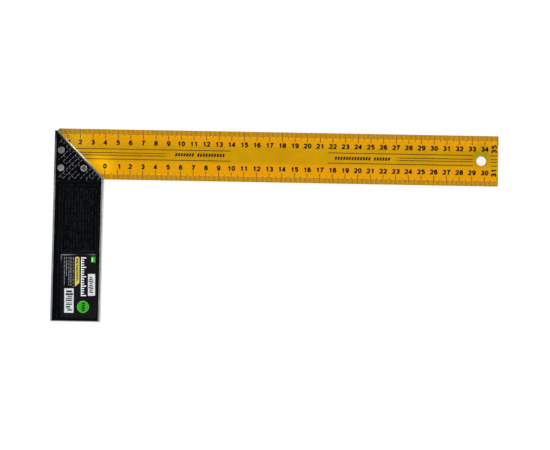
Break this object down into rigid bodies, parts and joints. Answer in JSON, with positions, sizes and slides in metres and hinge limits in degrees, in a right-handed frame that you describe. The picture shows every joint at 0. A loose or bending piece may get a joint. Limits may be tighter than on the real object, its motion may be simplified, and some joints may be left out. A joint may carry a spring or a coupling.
{
  "type": "try and mitre square",
  "caption": "Fixed carpenter's square: a scaled steel blade riveted at a right angle into a stock with a 45 degree mitre and black covers.",
  "frame": {"origin": "the inner corner, where the blade's lower edge meets the stock's inner working face, at the level of the stock's back", "axes": "+X along the blade towards its free end, square to the stock's inner face; -Y down the stock; +Z out of the front face"},
  "size_m": [0.3505, 0.153, 0.012],
  "materials": {
    "blade_lacquer": "glossy yellow lacquer on steel",
    "bare_metal": "ground bare edges",
    "black_moulding": "black moulded, textured head",
    "rivet_metal": "satin",
    "label_film": "black printed film",
    "scale_ink": "dark printed scale",
    "label_print": "coloured print on the label"
  },
  "bodies": {
    "root": {"blade": "blade_lacquer", "stock_frame": "bare_metal", "front_cover": "black_moulding", "rear_cover": "black_moulding", "rivet_top": "rivet_metal", "rivet_outer": "rivet_metal", "rivet_inner": "rivet_metal", "label": "label_film"}
  },
  "joints": []
}
